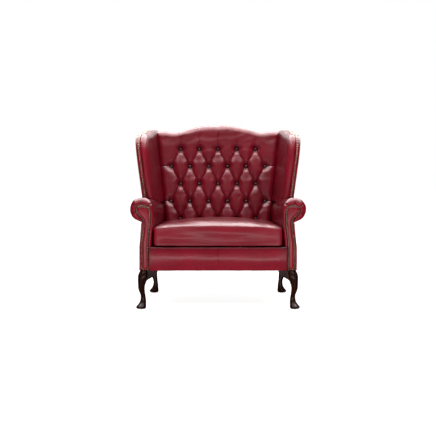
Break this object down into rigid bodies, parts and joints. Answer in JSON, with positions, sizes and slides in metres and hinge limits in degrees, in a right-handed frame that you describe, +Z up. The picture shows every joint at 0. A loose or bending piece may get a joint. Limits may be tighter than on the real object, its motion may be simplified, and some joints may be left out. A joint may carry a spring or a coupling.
{
  "type": "cuddle chair",
  "caption": "Wide wing armchair in deep-buttoned leather with rolled arms, a loose seat cushion and cabriole legs.",
  "frame": {"origin": "on the floor under the middle of the chair's bounding box", "axes": "+X to the right seen from the front, +Y from front to back, +Z up"},
  "size_m": [1.021, 0.7987, 1.0886],
  "materials": {
    "red_leather": "polished red hide, semi-gloss",
    "mahogany": "dark mahogany, french polished",
    "frame_beech": "planed hardwood, unfinished",
    "antique_brass": "antiqued brass, worn crowns",
    "steel": "bright drawn steel",
    "zip_metal": "dull brass",
    "zip_tape": "woven tape with moulded teeth",
    "jute": "woven jute",
    "padding": "polyurethane foam and wadding",
    "black_cloth": "black bottoming cloth",
    "glide_plastic": "moulded nylon"
  },
  "bodies": {
    "frame": {"back_buttons": "red_leather", "back_foam": "padding", "back_panel_nails": "antique_brass", "back_webbing": "jute", "button_ties": "jute", "corner_blocks": "frame_beech", "crest_rail": "frame_beech", "dust_cover": "black_cloth", "foot_glides": "glide_plastic", "front_seat_rail": "frame_beech", "inside_back": "red_leather", "left_arm_facing": "red_leather", "left_arm_nails": "antique_brass", "left_arm_pad": "red_leather", "left_arm_post": "frame_beech", "left_arm_rail": "frame_beech", "left_back_post": "frame_beech", "left_front_border": "red_leather", "left_front_leg": "mahogany", "left_outside_arm": "red_leather", "left_outside_wing": "red_leather", "left_rear_leg": "mahogany", "left_seat_rail": "frame_beech", "left_wing_board": "frame_beech", "left_wing_nails": "antique_brass", "left_wing_pad": "red_leather", "leg_bolts": "steel", "leg_inserts": "steel", "lower_back_rail": "frame_beech", "outside_back": "red_leather", "rear_seat_rail": "frame_beech", "right_arm_facing": "red_leather", "right_arm_nails": "antique_brass", "right_arm_pad": "red_leather", "right_arm_post": "frame_beech", "right_arm_rail": "frame_beech", "right_back_post": "frame_beech", "right_front_border": "red_leather", "right_front_leg": "mahogany", "right_outside_arm": "red_leather", "right_outside_wing": "red_leather", "right_rear_leg": "mahogany", "right_seat_rail": "frame_beech", "right_wing_board": "frame_beech", "right_wing_nails": "antique_brass", "right_wing_pad": "red_leather", "seat_deck": "red_leather", "spring_clips": "steel", "zigzag_springs": "steel"},
    "seat_cushion": {"seat_cushion_cover": "red_leather", "seat_cushion_core": "padding", "cushion_zip": "zip_tape"},
    "zip_slider": {"zip_slider": "zip_metal"}
  },
  "joints": [
    {"name": "cushion_lift", "type": "slide", "parent": "frame", "child": "seat_cushion", "axis": [0, 0, 1], "range_m": [0, 0.3]},
    {"name": "zip_run", "type": "slide", "parent": "seat_cushion", "child": "zip_slider", "axis": [1, 0, 0], "range_m": [0, 0.52]}
  ]
}
